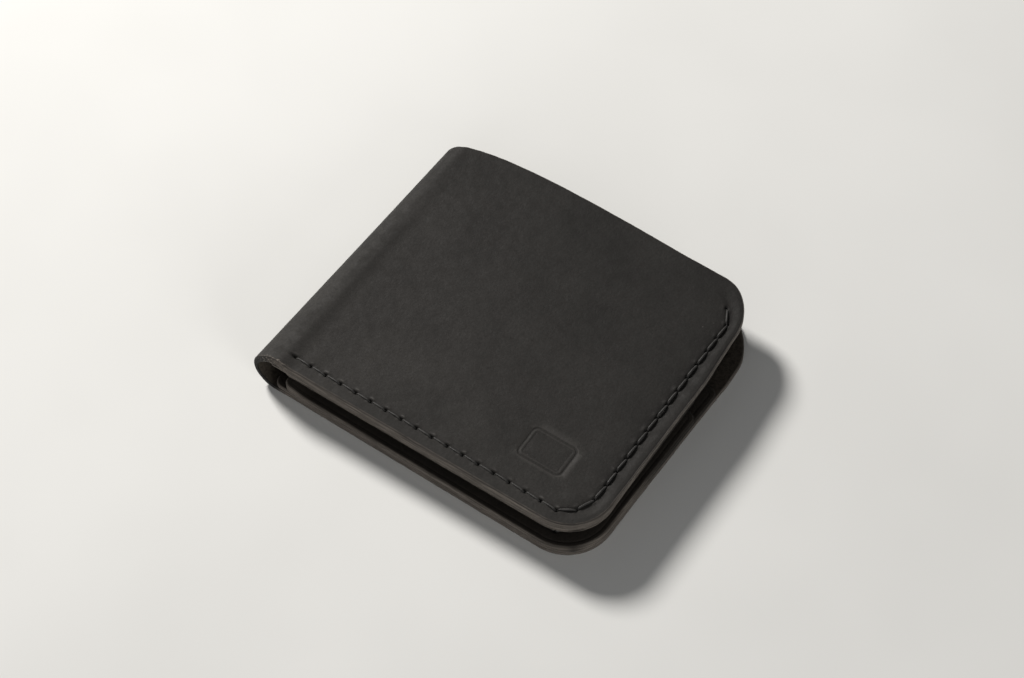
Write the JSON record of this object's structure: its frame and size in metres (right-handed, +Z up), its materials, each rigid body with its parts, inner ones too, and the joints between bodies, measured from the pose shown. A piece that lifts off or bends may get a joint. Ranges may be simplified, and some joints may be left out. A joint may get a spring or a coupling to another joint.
{
  "type": "bifold wallet",
  "caption": "Slim closed bifold leather wallet with a round spine fold, saddle-stitched edges, rounded outer corners, card pockets and a bill compartment; opens flat like a book.",
  "frame": {"origin": "middle of the closed wallet's footprint, on the surface it lies on", "axes": "+X from the spine to the outer edge, +Y from the stitched bottom edge to the open top edge, +Z up from the back cover to the front cover"},
  "size_m": [0.107, 0.091, 0.0148],
  "materials": {
    "cover_leather": "matte waxed charcoal black, fine grain, burnished edges",
    "pocket_leather": "matte charcoal black, fine grain, burnished edges",
    "waxed_thread": "waxed black linen thread"
  },
  "bodies": {
    "back_half": {"cover_back": "cover_leather", "bill_panel_back": "pocket_leather", "card_pocket_back": "pocket_leather", "edge_stitching_back": "waxed_thread", "pocket_seam_back": "waxed_thread"},
    "spine_back": {"cover_spine_back": "cover_leather"},
    "spine_front": {"cover_spine_front": "cover_leather"},
    "front_half": {"cover_front": "cover_leather", "bill_panel_front": "pocket_leather", "card_pocket_front": "pocket_leather", "edge_stitching_front": "waxed_thread", "pocket_seam_front": "waxed_thread"}
  },
  "joints": [
    {"name": "fold_back", "type": "hinge", "parent": "back_half", "child": "spine_back", "pos_m": [-0.04938, 0, 0.00173], "axis": [0, -1, 0], "range_deg": [-0.9, 60]},
    {"name": "fold_middle", "type": "hinge", "parent": "spine_back", "child": "spine_front", "pos_m": [-0.05265, 0, 0.0074], "axis": [0, -1, 0], "range_deg": [-0.9, 60]},
    {"name": "fold_front", "type": "hinge", "parent": "spine_front", "child": "front_half", "pos_m": [-0.04938, 0, 0.01307], "axis": [0, -1, 0], "range_deg": [-0.9, 60]}
  ],
  "couplings": [
    {"joint": "fold_middle", "follows": "fold_back", "ratio": 1},
    {"joint": "fold_front", "follows": "fold_back", "ratio": 1}
  ]
}
